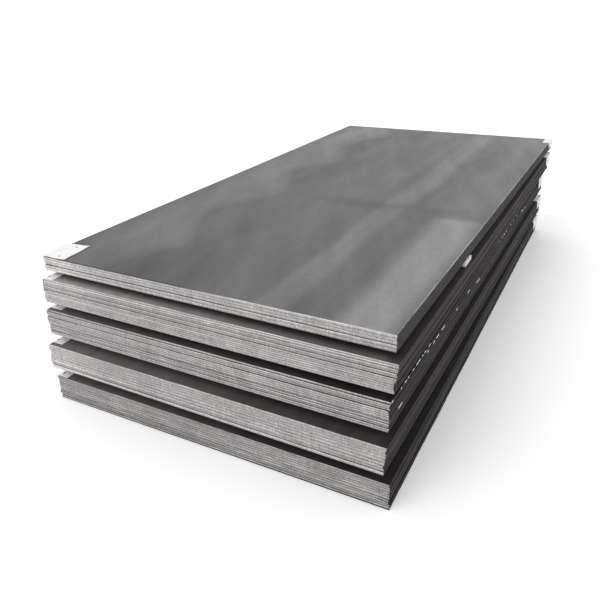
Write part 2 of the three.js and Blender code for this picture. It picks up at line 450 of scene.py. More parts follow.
rubbed_and_highlit_arris.links.new(rub_and_highlight_mask, rub_out.inputs["Mask"])

# The whole surface has the grain of rolled steel, fine and coarse.
FINE_GRAIN = (0.0022, 0.0045, 0.0022)
COARSE_GRAIN = (0.012, 0.020, 0.012)
GRAIN_TONES = (0.93, 1.07)

steel_grain, grain_in, grain_out = new_group(
    "steel_grain",
    [("Position", "Vector")],
    [("Tone", "Float"), ("Height", "Float")],
)
fine_grain = speckle(steel_grain, grain_in.outputs["Position"], FINE_GRAIN, 3.0)
coarse_grain = speckle(steel_grain, grain_in.outputs["Position"], COARSE_GRAIN, 3.0)
grain = sum_of(
    steel_grain, times(steel_grain, fine_grain, 0.5), times(steel_grain, coarse_grain, 0.5))
steel_grain.links.new(grain, grain_out.inputs["Height"])
steel_grain.links.new(carried(steel_grain, grain, *GRAIN_TONES), grain_out.inputs["Tone"])


def rub_and_highlight_at(tree, where):
    """Where the steel is rubbed bare or has a painted highlight, by what the plate's points say."""
    worn_and_highlit, amount = attribute(tree, "worn_and_highlit"), attribute(tree, "rubbed")
    inputs = {"Position": where, "Worn and highlit": worn_and_highlit, "Amount": amount}
    return use_group(tree, rubbed_and_highlit_arris, inputs).outputs["Mask"]


# Between the packs the scale is dull, and painted shade darkens it towards the right, most of
# all along its right edge. The palest has painted light along its front edge.
COVERED_TONES = (0.150, 0.050)
COVERED_TINT = (1.105, 0.965, 0.97)
RIGHT_SHADE = 0.45
PALE_SCALE = (1.0, 1.1)
LIT_FRONT = (-1.452, -1.498)
LIT_GAIN = 1.9
STREAKY = (0.05, 0.60, 1.0)
SCALE_RELIEF = 0.00006


def covered_scale_finish():
    material, tree, shader = blank_finish("covered_scale")
    where = position(tree)
    axes = axes_of(tree, where)
    across, along = axes["X"], axes["Y"]
    grain = use_group(tree, steel_grain, {"Position": where}).outputs
    scale_tone = attribute(tree, "scale_tone")
    lit = times(tree, eased(tree, scale_tone, *PALE_SCALE), eased(tree, along, *LIT_FRONT))
    # Painted shade darkens the scale towards the right; painted light brightens the palest in
    # front.
    tone = times(
        tree,
        eased(tree, across, -0.75, 0.70, *COVERED_TONES),
        eased(tree, across, 0.70, 0.74, 1.0, RIGHT_SHADE),
        scale_tone,
        carried(tree, lit, 1.0, LIT_GAIN),
        speckle(tree, where, STREAKY, 3.0, (0.88, 1.12)),
        grain["Tone"],
    )
    feed(tree, shader, {
        "Base Color": grey(tree, tone, COVERED_TINT),
        "Roughness": carried(tree, grain["Height"], 0.62, 0.74),
        "Specular IOR Level": 0.2,
        "Normal": bumped(tree, grain["Height"], SCALE_RELIEF),
    })
    return material


# A sheared end is bright bare steel: a smooth band struck by the blade, with fine upright strokes,
# over a torn and duller one, and a faint straw stain in places.
TORN_TONE, STRUCK_TONE = 0.47, 0.58
END_TINT = (1.03, 0.978, 0.985)
STRAW_TINT = (1.0, 0.99, 0.93)
# The colour of rubbed patches and of painted highlights on an end.
RUBBED_AND_HIGHLIT_END = (0.80, 0.79, 0.78, 1.0)
# The colour of the painted shade on the top plate's front arris.
PAINTED_ARRIS_SHADE = (0.045, 0.044, 0.044, 1.0)
FAR_LEFT = (-0.42, -0.70)
STROKE = (0.0026, 1.0, 0.0060)
LONG_STROKE = (0.0052, 1.0, 0.060)
STROKE_PATCH = (0.16, 1.0, 0.30)
TEAR = (0.011, 1.0, 0.0035)
BLOTCH = (0.075, 1.0, 0.160)
STRAW_PATCH = (0.20, 1.0, 0.05)
STRAW_MOST = 0.6
CUT_RELIEF = 0.0002


def sheared_end_finish():
    material, tree, shader = blank_finish("sheared_end")
    where = position(tree)
    across = axes_of(tree, where)["X"]
    smooth = attribute(tree, "smooth_cut")
    grain = use_group(tree, steel_grain, {"Position": where}).outputs
    at_left = eased(tree, across, *FAR_LEFT)
    strokes = speckle(tree, where, STROKE, 2.0, (0.70, 1.30))
    long_strokes = speckle(tree, where, LONG_STROKE, 2.0, (0.84, 1.16))
    tone = times(
        tree,
        mixed_value(tree, smooth, TORN_TONE, STRUCK_TONE),
        attribute(tree, "cut_tone"),
        mixed_value(tree, at_left, 1.0, attribute(tree, "left_gain")),
        strokes,
        mixed_value(tree, speckle(tree, where, STROKE_PATCH), 1.0, long_strokes),
        speckle(tree, where, TEAR, 3.0, (0.93, 1.07)),
        speckle(tree, where, BLOTCH, 3.0, (0.94, 1.06)),
        grain["Tone"],
    )
    straw = eased(tree, speckle(tree, where, STRAW_PATCH, 3.0), 0.45, 0.95, 0.0, STRAW_MOST)
    colour = mixed(tree, straw, grey(tree, tone, END_TINT), grey(tree, tone, STRAW_TINT))
    colour = mixed(tree, rub_and_highlight_at(tree, where), colour, RUBBED_AND_HIGHLIT_END)
    torn = mixed_value(tree, smooth, grain["Height"], times(tree, strokes, 0.25))
    feed(tree, shader, {
        # Painted shade darkens the left part of the top plate's front arris.
        "Base Color": mixed(tree, attribute(tree, "painted_arris_shade"), colour, PAINTED_ARRIS_SHADE),
        "Metallic": 0.75,
        "Roughness": times(tree, mixed_value(tree, smooth, 0.58, 0.42), strokes),
        "Normal": bumped(tree, torn, CUT_RELIEF),
    })
    return material


# A long edge keeps its thick scale, matt and nearly black: its own dark scale, and in part
# painted shade for the shaded sides of the stack. Painted shade darkens its arris, where it would
# catch the light, and painted glints show bright in places.
EDGE_TONES = (0.051, 0.059)
EDGE_PATCH = (1.0, 0.35, 0.12)
EDGE_TINT = (1.08, 0.965, 1.0)
EDGE_ARRIS_SHADE = 0.75
# The colour of the painted glints.
PAINTED_GLINT = (0.94, 0.94, 0.93, 1.0)


def mill_edge_finish():
    material, tree, shader = blank_finish("mill_edge")
    where = position(tree)
    grain = use_group(tree, steel_grain, {"Position": where}).outputs
    # The dark tone is in part painted shade, and its arris is painted darker still.
    tone = times(
        tree,
        speckle(tree, where, EDGE_PATCH, 2.0, EDGE_TONES),
        mixed_value(tree, attribute(tree, "worn_and_highlit"), 1.0, EDGE_ARRIS_SHADE),
        grain["Tone"],
    )
    # Painted glints: small bright spots on the right edges.
    glint = eased(tree, attribute(tree, "painted_glint"), 0.35, 0.6)
    feed(tree, shader, {
        "Base Color": mixed(tree, glint, grey(tree, tone, EDGE_TINT), PAINTED_GLINT),
        "Metallic": mixed_value(tree, glint, 0.15, 0.85),
        "Roughness": mixed_value(tree, glint, 0.78, 0.40),
        "Specular IOR Level": 0.2,
        "Normal": bumped(tree, grain["Height"], CUT_RELIEF),
    })
    return material


covered_scale = covered_scale_finish()
sheared_end = sheared_end_finish()
mill_edge = mill_edge_finish()

RUBBED_A_LITTLE = 0.45
PACK_SEEDS, PLATE_SEEDS = 100, 7

plates = {}


def lay_pack(pack, thickness, scale, tone, joints, left_gain, scale_tone, plate_tones_and_highlights,
             rubbed=None, knocks=None, ground_shade=None, top_plate=None):
    """Lays a pack's plates, from the lowest up, where its solids hold them.

    tone is the brightness of their cut ends. The table of plate tones says how much brighter or
    darker a plate's end is at its left and at its right: tone that differs from plate to plate,
    and in part painted highlights. It goes by the plate's number, as the rubs and the painted
    glints do. The pair for the lowest plate is the depth of the painted shade at the foot of its
    end, left and right, for the contact shadow under the stack."""
    first_seed = PACK_SEEDS * len(plates)
    plates[pack] = []
    for node in nodes_called(pack):
        for corners, underside in plates_in(node, thickness):
            number = len(plates[pack]) + 1
            is_soiled = ground_shade is not None and number == 1
            look = Look(
                tones=[tone * odd for odd in plate_tones_and_highlights.get(number, (1.0, 1.0))],
                joints=ground_shade if is_soiled else joints,
                left_gain=left_gain,
                scale_tone=scale_tone,
                rubbed=(rubbed or {}).get(number, RUBBED_A_LITTLE),
                knocks=(knocks or {}).get(number, ()),
                is_soiled=is_soiled,
                is_top=number == top_plate,
            )
            name = f"{pack}_sheet_{number}"
            seed = first_seed + PLATE_SEEDS * number
            plate = rolled_plate(name, corners, underside, thickness, seed, look)
            for finish in (scale, sheared_end, mill_edge):
                plate.data.materials.append(finish)
            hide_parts(node)
            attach(plate, "root")
            plates[pack].append(plate)


lay_pack(
    "pack_1",
    thickness=0.010,
    scale=covered_scale,
    tone=0.80,
    joints=(0.55, 0.85),
    left_gain=1.00,
    scale_tone=0.75,
    plate_tones_and_highlights={10: (0.85, 0.80), 5: (1.10, 1.15), 3: (0.85, 1.0), 2: (1.1, 0.85)},
    # The painted shade at the foot of the lowest plate's end, at its left and at its right.
    ground_shade=(0.5, 2.6),
)

# ------------------------------------------------------------------ the second pack
# Nine hot rolled plates of 12 mm, laid loose on three timber spacers over the lowest pack. A
# fresh blade cut them, so their ends are bright and their joints hardly show at the right.

lay_pack(
    "pack_2",
    thickness=0.012,
    scale=covered_scale,
    tone=0.94,
    joints=(0.55, 0.20),
    left_gain=1.25,
    scale_tone=1.00,
    plate_tones_and_highlights={1: (1.45, 1.15), 3: (1.30, 1.0), 2: (0.92, 1.0)},
    rubbed={1: 0.9},
)

# ------------------------------------------------------------------ the third pack
# Fourteen hot rolled plates of 8 mm, laid loose on three spacers and ragged at the right, where
# their joints stand open. Small bright spots on their right edges are painted glints.

lay_pack(
    "pack_3",
    thickness=0.008,
    scale=covered_scale,
    tone=0.92,
    joints=(0.20, 0.95),
    left_gain=1.02,
    scale_tone=0.75,
    plate_tones_and_highlights={14: (0.92, 1.05), 13: (0.98, 1.12), 12: (1.15, 0.86), 1: (1.35, 1.1)},
    rubbed={12: 0.9},
    # Painted glints on the right edges, by plate number: how far from the front and half the
    # length.
    knocks={
        14: [(0.012, 0.006), (0.093, 0.004), (0.135, 0.008), (0.162, 0.005), (0.213, 0.007),
             (0.254, 0.010), (0.277, 0.008), (0.312, 0.006), (0.341, 0.008), (0.392, 0.010)],
        11: [(0.387, 0.009), (0.461, 0.011), (0.510, 0.016), (0.582, 0.021), (1.598, 0.004),
             (1.671, 0.006), (1.722, 0.013), (1.773, 0.006), (1.891, 0.005), (1.968, 0.006),
             (2.063, 0.005)],
        9: [(0.793, 0.008), (0.983, 0.019)],
        8: [(2.254, 0.020)],
        7: [(1.149, 0.028), (2.343, 0.007)],
        5: [(0.104, 0.017)],
    },
)

# ------------------------------------------------------------------ the fourth pack
# Thirteen hot rolled plates of 8 mm, laid loose on three spacers, close and even. Their scale is
# paler and has painted light along its front edge, and two that stand out have painted
# highlights and rubbed patches on their ends there.

lay_pack(
    "pack_4",
    thickness=0.008,
    scale=covered_scale,
    tone=0.88,
    joints=(0.45, 0.22),
    left_gain=1.30,
    scale_tone=1.10,
    plate_tones_and_highlights={12: (1.40, 1.0), 5: (1.25, 1.0), 2: (1.05, 1.15), 1: (1.2, 1.2)},
    # Plates 12 and 5 take painted highlights along their front ends.
    rubbed={12: 1.1, 5: 1.0},
)

# ------------------------------------------------------------------ the top pack
# Five hot rolled plates of 12 mm, laid loose on three thin spacers. The uppermost shows its mill
# scale, with the soft light and dark streaks of the reflections on it painted into its colour.

PLATE_WIDTH = 1.5
PLATE_LENGTH = 3.0

# The streaks, which are painted reflections: how far their middles lie from the left edge, half
# their width, and how much they brighten the plate. Each pair is for the front and the rear.
# The core has the full strength.
MIDDLE_STREAK = {"places": (0.84, 0.84), "half_width": 0.13, "strengths": (0.10, 0.03)}
PALE_STREAK = {"places": (1.060, 1.080), "half_width": 0.088, "strengths": (0.52, 0.36)}
BRIGHT_BAND = {"places": (1.392, 1.395), "half_width": 0.145, "strengths": (1.12, 0.74)}
FAINT_BAND = {"places": (1.39, 1.43), "half_width": 0.17, "strengths": (0.20, 0.22)}
STREAK_CORE = 0.3

# The waves along the plate: where a crest lies, the length of one wave and its height.
SCALLOPS = {"crest": 0.40, "pitch": 0.80, "height": 0.070}
BEADS = {"crest": 1.72, "pitch": 1.20, "height": 0.20}

# The tone at the front and the rear, and how much brighter or darker the other marks make it:
# the painted reflections and painted shade, and the scuffs.
SCALE_TONES = (0.132, 0.147)
REAR_GAIN = 1.10
LEFT_BAND_GAIN = 1.30
LEFT_EDGE_SHADE = 0.78
BEYOND_BAND_SHADE = 0.88
FRONT_CORNER_SHADE = 0.80
DARK_SPOT_SHADE = 0.76
CROSS_MARK_SHADE = 0.80
SCUFF_GAIN = 1.06

# Where they lie, from the left edge and from the front, and their sizes.
LEFT_BAND_WIDTH = 0.350
DARK_SPOT_AT = (1.27, 2.20)
DARK_SPOT_SIZE = (0.10, 0.34)
CROSS_MARK_AT = 1.19
FRONT_BAND_ENDS = (1.21, 1.07)
FAN_SLANT = 0.42
FAN = (0.11, 0.75, 1.0)
ROLL_LINE = (0.030, 0.9, 1.0)
SCUFF = (0.0035, 0.40, 1.0)
SCALE_TINT = (1.008, 1.0, 0.998)
# The colour of rubbed patches and of the painted highlight on the top plate.
RUBBED_AND_HIGHLIT_SCALE = (0.52, 0.52, 0.52, 1.0)


def along_plate(tree, along, ends):
    """A value that changes evenly from the front of the plate to the rear."""
    inputs = {0: along, 1: 0.0, 2: PLATE_LENGTH, 3: ends[0], 4: ends[1]}
    return place(tree, "MapRange", inputs).outputs[0]


def streak(tree, across, along, places, half_width, strengths):
    """How much a streak brightens the plate: 1 outside it."""
    centre = along_plate(tree, along, places)
    off = worked(tree, "ABSOLUTE", worked(tree, "SUBTRACT", across, centre))
    inside = eased(tree, off, half_width, half_width * STREAK_CORE)
    return sum_of(tree, times(tree, inside, along_plate(tree, along, strengths)), 1.0)


def wave_along(tree, along, crest, pitch, height):
    """A gentle wave along the plate."""
    turns = 2 * math.pi / pitch
    turn = worked(tree, "MULTIPLY_ADD", along, turns, -turns * crest)
    return times(tree, worked(tree, "COSINE", turn), height)


def left_band(tree, across, along):
    """The left side is pale, with a scalloped border, and darkest just beyond it: painted
    reflection.
    """
    border = sum_of(tree, wave_along(tree, along, **SCALLOPS), LEFT_BAND_WIDTH)
    beyond = worked(tree, "SUBTRACT", across, border)
    shade = times(tree, eased(tree, beyond, -0.02, 0.05), eased(tree, beyond, 0.08, 0.45, 1.0, 0.0))
    corner = times(tree, eased(tree, along, 0.55, 0.0), eased(tree, across, 0.95, 0.55))
    return [
        eased(tree, beyond, -0.11, 0.05, LEFT_BAND_GAIN, 1.0),
        eased(tree, across, 0.0, 0.14, LEFT_EDGE_SHADE, 1.0),
        carried(tree, shade, 1.0, BEYOND_BAND_SHADE),
        carried(tree, corner, 1.0, FRONT_CORNER_SHADE),
    ]


def dark_spot(tree, across, along):
    """A long dark spot in the painted reflections, between the streaks, well to the rear."""
    off = place(tree, "CombineXYZ", {
        0: times(tree, sum_of(tree, across, -DARK_SPOT_AT[0]), 1 / DARK_SPOT_SIZE[0]),
        1: times(tree, sum_of(tree, along, -DARK_SPOT_AT[1]), 1 / DARK_SPOT_SIZE[1]),
        2: 0.0,
    }).outputs[0]
    off = place(tree, "VectorMath", {0: off}, operation="LENGTH").outputs["Value"]
    return eased(tree, off, 0.25, 1.25, DARK_SPOT_SHADE, 1.0)


def cross_mark(tree, where, across, along):
    """A band of painted shade across the plate, broken and fainter at the left."""
    mark = worked(tree, "ABSOLUTE", sum_of(tree, along, -CROSS_MARK_AT))
    mark = times(
        tree,
        eased(tree, mark, 0.11, 0.02),
        speckle(tree, where, (0.22, 0.12, 1.0), 2.0, (0.25, 1.0)),
        eased(tree, across, 0.2, 1.0, 0.4, 1.0),
    )
    return carried(tree, mark, 1.0, CROSS_MARK_SHADE)


def streaks(tree, across, along):
    """The painted reflections that streak along the plate. The band at the right is bright in front
    of the mark across the plate and faint behind it."""
    pale = streak(tree, across, along, **PALE_STREAK)
    beads = sum_of(tree, wave_along(tree, along, **BEADS), 0.80)
    is_front = eased(tree, along, *FRONT_BAND_ENDS)
    faint = streak(tree, across, along, **FAINT_BAND)
    bright = streak(tree, across, along, **BRIGHT_BAND)
    return [
        streak(tree, across, along, **MIDDLE_STREAK),
        sum_of(tree, times(tree, sum_of(tree, pale, -1.0), beads), 1.0),
        dark_spot(tree, across, along),
        mixed_value(tree, is_front, faint, bright),
    ]


def fine_marks(tree, where, across, along):
    """Soft fans of painted reflection that run slantwise between the streaks, fine lines along them
    and thin scuffs.
    """
    slanted = place(tree, "CombineXYZ", {
        0: worked(tree, "MULTIPLY_ADD", along, FAN_SLANT, across),
        1: along,
        2: 0.0,
    }).outputs[0]
    scuffs = eased(tree, speckle(tree, where, SCUFF), 0.80, 0.92)
    scuffs = times(tree, scuffs, speckle(tree, where, (0.4, 0.5, 1.0)))
    return [
        speckle(tree, slanted, FAN, 3.0, (0.88, 1.12)),
        speckle(tree, where, ROLL_LINE, 4.0, (0.975, 1.025)),
        carried(tree, scuffs, 1.0, SCUFF_GAIN),
    ]


def mill_scale_and_reflections_finish():
    material, tree, shader = blank_finish("mill_scale_with_painted_reflections")
    where = position(tree)
    axes = axes_of(tree, where)
    drift = speckle(tree, where, (0.30, 0.60, 1.0), 3.0, (-0.022, 0.022))
    across = sum_of(tree, axes["X"], PLATE_WIDTH / 2, drift)
    along = sum_of(tree, axes["Y"], PLATE_LENGTH / 2, drift)
    grain = use_group(tree, steel_grain, {"Position": where}).outputs
    # The tone lays painted reflections and painted shade over the scale's own colour.
    tone = times(
        tree,
        eased(tree, along, -0.6, 2.9, *SCALE_TONES),
        eased(tree, along, 2.5, PLATE_LENGTH, 1.0, REAR_GAIN),
        *left_band(tree, across, along),
        *streaks(tree, across, along),
        cross_mark(tree, where, across, along),
        *fine_marks(tree, where, across, along),
        grain["Tone"],
    )
    bare_and_highlit = rub_and_highlight_at(tree, where)
    colour = mixed(tree, bare_and_highlit, grey(tree, tone, SCALE_TINT), RUBBED_AND_HIGHLIT_SCALE)
    gloss = speckle(tree, where, (0.12, 0.5, 1.0), 3.0, (0.40, 0.54))
    feed(tree, shader, {
        # Painted shade darkens the left part of the top plate's front arris.
        "Base Color": mixed(tree, attribute(tree, "painted_arris_shade"), colour, PAINTED_ARRIS_SHADE),
        "Metallic": 0.1,
        "Roughness": mixed_value(tree, bare_and_highlit, gloss, 0.38),
        "Specular IOR Level": 0.12,
        "Normal": bumped(tree, grain["Height"], SCALE_RELIEF),
    })
    return material


lay_pack(
    "pack_5",
    thickness=0.012,
    scale=mill_scale_and_reflections_finish(),
    tone=1.04,
    joints=(0.45, 0.45),
    left_gain=1.28,
    scale_tone=1.00,
    plate_tones_and_highlights={1: (1.25, 0.95), 4: (1.12, 1.02)},
    rubbed={5: 0.75},
    # The top plate takes a painted highlight along its right arris, and painted shade along the
    # left part of its front arris.
    top_plate=5,
)

# ------------------------------------------------------------------ timber spacers
# Planed softwood battens across the packs, three to a gap, sawn off by hand. The weight of
# the plates has pressed them a little, and one is too long and shows at the right-hand side.

SPACER_WIDTH = 0.094
SPACER_ARRIS = 0.003
ARRIS_STEPS = 4
SPACER_STEPS = 60

# How far a batten bows, over what length, how far the saw ran askew, and the dents: how deep
# and how long.
SPACER_BOW = 0.0012
BOW_LENGTH = 0.7
SAW_SLANT = 0.0015
DENT_DEPTH = 0.0006
DENT_LENGTH = 0.05


def solid_ends(node, axis):
    """The middles of a solid's two ends along an axis."""
    points = sorted(solid_points(node), key=lambda point: point[axis])
    half = len(points) // 2
    return sum(points[:half], Vector()) / half, sum(points[half:], Vector()) / half


def batten_section(width, height):
    """The outline of a batten with rounded arrises, as points across it and up."""
    outline = []
    for quarter, (across, up) in enumerate(((1, 1), (-1, 1), (-1, -1), (1, -1))):
        for step in range(ARRIS_STEPS):
            turn = math.radians(90 * quarter + 30 * step)
            outline.append((
                across * (width / 2 - SPACER_ARRIS) + SPACER_ARRIS * math.cos(turn),
                up * (height / 2 - SPACER_ARRIS) + SPACER_ARRIS * math.sin(turn),
            ))
    return outline


def batten(name, start, end, width, height, seed):
    length = (end - start).length
    ahead = (end - start) / length
    aside = Vector((-ahead.y, ahead.x, 0))
    outline = batten_section(width, height)
    count = len(outline)
    slant = SAW_SLANT * noise.noise((seed * 1.7, 3.5, 0.5))
    points, faces = [], []
    for step in range(SPACER_STEPS + 1):
        share = step / SPACER_STEPS
        run = length * share
        bow = SPACER_BOW * noise.noise((run / BOW_LENGTH, seed * 2.3, 0.5))
        for i, (across, up) in enumerate(outline):
            bump = noise.noise((run / DENT_LENGTH, i * 0.9 + seed * 3.1, 2.5))
            press = 1 - DENT_DEPTH * max(0, bump) / (width / 2)
            askew = slant * (2 * share - 1) * up / height
            across_it = aside * (bow + across * press)
            points.append(start + ahead * (run + askew) + across_it + Vector((0, 0, up)))
    for step in range(SPACER_STEPS):
        for i in range(count):
            j = (i + 1) % count
            here, beyond = step * count, (step + 1) * count
            faces.append((here + i, here + j, beyond + j, beyond + i))
    faces.append(tuple(reversed(range(count))))
    faces.append(tuple(range(SPACER_STEPS * count, (SPACER_STEPS + 1) * count)))
    sides = len(faces) - 2
    return mesh_piece(name, points, faces, [True] * sides + [False] * 2, [0] * sides + [1] * 2)


# The pale and the dark wood of the grain, along the faces and on the ends, and the smudges of
# handling.
LONG_GRAIN = ((0.76, 0.73, 0.68, 1.0), (0.58, 0.53, 0.46, 1.0))
END_GRAIN = ((0.98, 0.98, 0.97, 1.0), (0.92, 0.91, 0.89, 1.0))
SMUDGE = (0.34, 0.31, 0.27, 1.0)
SMUDGE_SIZE = (0.20, 0.05, 0.04)
SMUDGE_MOST = 0.35
RINGS = {"Scale": 28.0, "Distortion": 3.0, "Detail": 3.0, "Detail Scale": 1.2}
RING_SHARE = 0.55
FIBRE = (0.09, 0.0012, 0.0012)
WOOD_RELIEF = 0.0003


def timber_finish(name, pale, dark):
    """Planed softwood: long grain on the faces, rings round an off-centre heart on the ends."""
    material, tree, shader = blank_finish(name)
    where = position(tree)
    axes = axes_of(tree, where)
    warp = speckle(tree, where, (0.60, 0.08, 0.05), 3.0, (-0.010, 0.010))
    heart = place(tree, "CombineXYZ", {0: 0.0, 1: axes["Y"], 2: sum_of(tree, axes["Z"], warp)})
    rings = place(
        tree,
        "TexWave",
        {"Vector": heart.outputs[0], **RINGS},
        wave_type="RINGS",
        rings_direction="X",
    ).outputs["Fac"]
    fibre = speckle(tree, where, FIBRE, 3.0)
    grain = sum_of(tree, times(tree, rings, RING_SHARE), times(tree, fibre, 1 - RING_SHARE))
    smudge = speckle(tree, where, SMUDGE_SIZE, 3.0)
    smudge = eased(tree, smudge, 0.55, 0.95, 0.0, SMUDGE_MOST)
    colour = mixed(tree, times(tree, grain, 0.8), pale, dark)
    feed(tree, shader, {
        "Base Color": mixed(tree, smudge, colour, SMUDGE),
        "Roughness": carried(tree, grain, 0.62, 0.80),
        "Specular IOR Level": 0.35,
        "Normal": bumped(tree, grain, WOOD_RELIEF),
    })
    return material


long_grain = timber_finish("timber_long_grain", *LONG_GRAIN)
end_grain = timber_finish("timber_end_grain", *END_GRAIN)

for count, node in enumerate(nodes_called("spacer")):
    low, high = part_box(node)
    start, end = solid_ends(node, axis=0)
    timber = batten(f"{node}_batten", start, end, SPACER_WIDTH, high.z - low.z, seed=count)
    timber.data.materials.append(long_grain)
    timber.data.materials.append(end_grain)
    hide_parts(node)
    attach(timber, "root")

# ------------------------------------------------------------------ folded paper tags
# A blank card the size of a postcard, punched at both ends, is laid on two corners of each
# pack and folded down over the long edge. The flap hangs against the plates that stand out.

CARD_LENGTH = 0.154
CARD_THICKNESS = 0.0004
CARD_ACROSS = 40
CARD_ALONG = 36

# How far the fold stands out of the edge in the solids, and how thick their sheets are.
FRONT_FOLD_PROUD = 0.004
REAR_FOLD_PROUD = 0.006
SOLID_CARD = 0.0005
SAME_FACE = 0.0002
SHORTEST_FLAP = 0.001

# The fold, the plates that a flap may touch and its clearance from them, how it springs out and
# flares at its free edge, and how much the card's corners curl and its face ripples. Only the
# part on the plate, and down to a little below it, is lifted. A flat card lies further back.
FOLD_RADIUS = 0.0015
FOLD_DEPTH = 2.5 * FOLD_RADIUS
PLATES_NEAR = 0.012
BELOW_FACE = 0.0003
FLAP_CLEAR = 0.0008
FLAP_SPRING = 0.0015
FLAP_FLARE = 0.0030
FLARE_LENGTH = 0.11
CORNER_CURL = 0.0012
FLAT_CARD_CURL = 0.0035
CORNER_SHARPNESS = 6
RIPPLE = 0.0003
RIPPLE_ACROSS, RIPPLE_ALONG = 0.05, 0.07
LIFTED_DOWN_TO = 0.001
FLAT_CARD_BACK = 0.006

# The punched holes and where their middles lie.
HOLE_RADIUS = 0.005
HOLE_FROM_LONG_EDGE = 0.047
HOLE_FROM_FOLD = 0.010
HOLE_FROM_END = 0.027

CARD_FIBRE = (0.0025, 0.0025, 0.0025)
BLOOM = (0.045, 0.050, 0.040)
BLOOM_MOST = 0.4
CARD_SHADE = (0.96, 0.96, 0.955, 1.0)
CARD_WHITE = (0.99, 0.99, 0.985, 1.0)
HANDLED = (0.84, 0.84, 0.83, 1.0)
CARD_RELIEF = 0.00008


def card_paper():
    """Matt white card: faint fibres, a soft grey bloom from handling and a little shine."""
    material, tree, shader = blank_finish("tag_card")
    where = position(tree)
    fibres = speckle(tree, where, CARD_FIBRE, 4.0)
    bloom = eased(tree, speckle(tree, where, BLOOM, 3.0), 0.55, 0.95, 0.0, BLOOM_MOST)
    clean = mixed(tree, fibres, CARD_SHADE, CARD_WHITE)
    feed(tree, shader, {
        "Base Color": mixed(tree, bloom, clean, HANDLED),
        "Roughness": 0.7,
        "Specular IOR Level": 0.3,
        "Normal": bumped(tree, fibres, CARD_RELIEF),
    })
    return material


def plates_behind(pack, edge, level, ahead, out):
    """Where a pack's plates stand behind a flap: how deep each point of them lies and how far out
    it holds the flap."""
    found = []
    for plate in plates[pack]:
        for vertex in plate.data.vertices:
            off = vertex.co - edge
            reach = out.dot(off)
            is_near = -PLATES_NEAR < ahead.dot(off) < CARD_LENGTH + PLATES_NEAR
            if is_near and reach > -PLATES_NEAR and vertex.co.z < level - BELOW_FACE:
                found.append((level - vertex.co.z, reach + FLAP_CLEAR))
    return found


def held_out(depth, behind):
    """How far out the plates hold a flap at this depth: it hangs straight to each it touches."""
    return max(reach * min(1, depth / deep) for deep, reach in behind)


def card_place(run, lap, flap, proud, behind):
    """Where a point of a folded card lies, this far across it: outward of the edge and up."""
    flat = lap + proud - FOLD_RADIUS
    bend = FOLD_RADIUS * math.pi / 2
    if run < flat:
        return run - lap, 0.0
    if run < flat + bend:
        turn = (run - flat) / FOLD_RADIUS
        aside = proud - FOLD_RADIUS + FOLD_RADIUS * math.sin(turn)
        return aside, FOLD_RADIUS * (math.cos(turn) - 1)
    depth = FOLD_RADIUS + run - flat - bend
    return max(proud, held_out(depth, behind)) + FLAP_SPRING * depth / flap, -depth


def hole_places(lap, width, has_flap):
    """The points of the card's grid at the middles of its two holes."""
    across = min(HOLE_FROM_LONG_EDGE, lap - HOLE_FROM_FOLD) if has_flap else HOLE_FROM_LONG_EDGE
    i = round(CARD_ACROSS * across / width)
    j = round(CARD_ALONG * HOLE_FROM_END / CARD_LENGTH)
    return [(i, j), (i, CARD_ALONG - j)]


def card_point(i, j, width, holes):
    """How far across and along the card a point of its grid lies. The eight points round the
    middle of a hole stand on its rim."""
    for middle in holes:
        off = Vector((i - middle[0], j - middle[1]))
        if 0 < max(abs(off.x), abs(off.y)) <= 1:
            rim = HOLE_RADIUS * off.normalized()
            run, along = card_point(*middle, width, [])
            return run + rim.x, along + rim.y
    return width * i / CARD_ACROSS, CARD_LENGTH * j / CARD_ALONG


def laid_card(name, edge, level, ahead, out, lap, flap, behind, seed):
    """A card on the level, whose long edge starts at edge and runs ahead. out is the way off the
    plate. The middles of the holes and the faces round them are left out."""
    proud = max(reach for deep, reach in behind if deep < FOLD_DEPTH) if flap else 0
    width = lap + proud + flap
    holes = hole_places(lap, width, flap > 0)
    points, faces = [], []
    for i in range(CARD_ACROSS + 1):
        for j in range(CARD_ALONG + 1):
            run, along = card_point(i, j, width, holes)
            curl = noise.noise((run / RIPPLE_ACROSS + seed, along / RIPPLE_ALONG, seed * 1.9))
            to_edge = max(abs(2 * i / CARD_ACROSS - 1), abs(2 * j / CARD_ALONG - 1))
            corner = to_edge ** CORNER_SHARPNESS
            lift = CORNER_CURL * abs(curl) * corner + RIPPLE * (1 + curl)
            if flap:
                aside, up = card_place(run, lap, flap, proud, behind)
                free = max(0.0, (run - lap - proud) / flap)
                flare = abs(noise.noise((along / FLARE_LENGTH, seed * 2.7, 4.5)))
                aside += FLAP_FLARE * free * flare
            else:
                aside, up = run - lap, 0.0
                bent = noise.noise((i * 0.05, j * 0.04, seed)) + 0.2
                lift += FLAT_CARD_CURL * corner * max(0.0, bent)
            height = level + CARD_THICKNESS + up + (lift if up > -LIFTED_DOWN_TO else 0)
            points.append(edge + ahead * along + out * aside + Vector((0, 0, height)))
    wide = CARD_ALONG + 1
    middles = [i * wide + j for i, j in holes]
    for i in range(CARD_ACROSS):
        for j in range(CARD_ALONG):
            a = i * wide + j
            face = (a, a + wide, a + wide + 1, a + 1)
            if not any(middle in face for middle in middles):
                faces.append([at - sum(middle < at for middle in middles) for at in face])
    points = [point for number, point in enumerate(points) if number not in middles]
    return mesh_piece(name, points, faces, [True] * len(faces), [0] * len(faces))


card = card_paper()

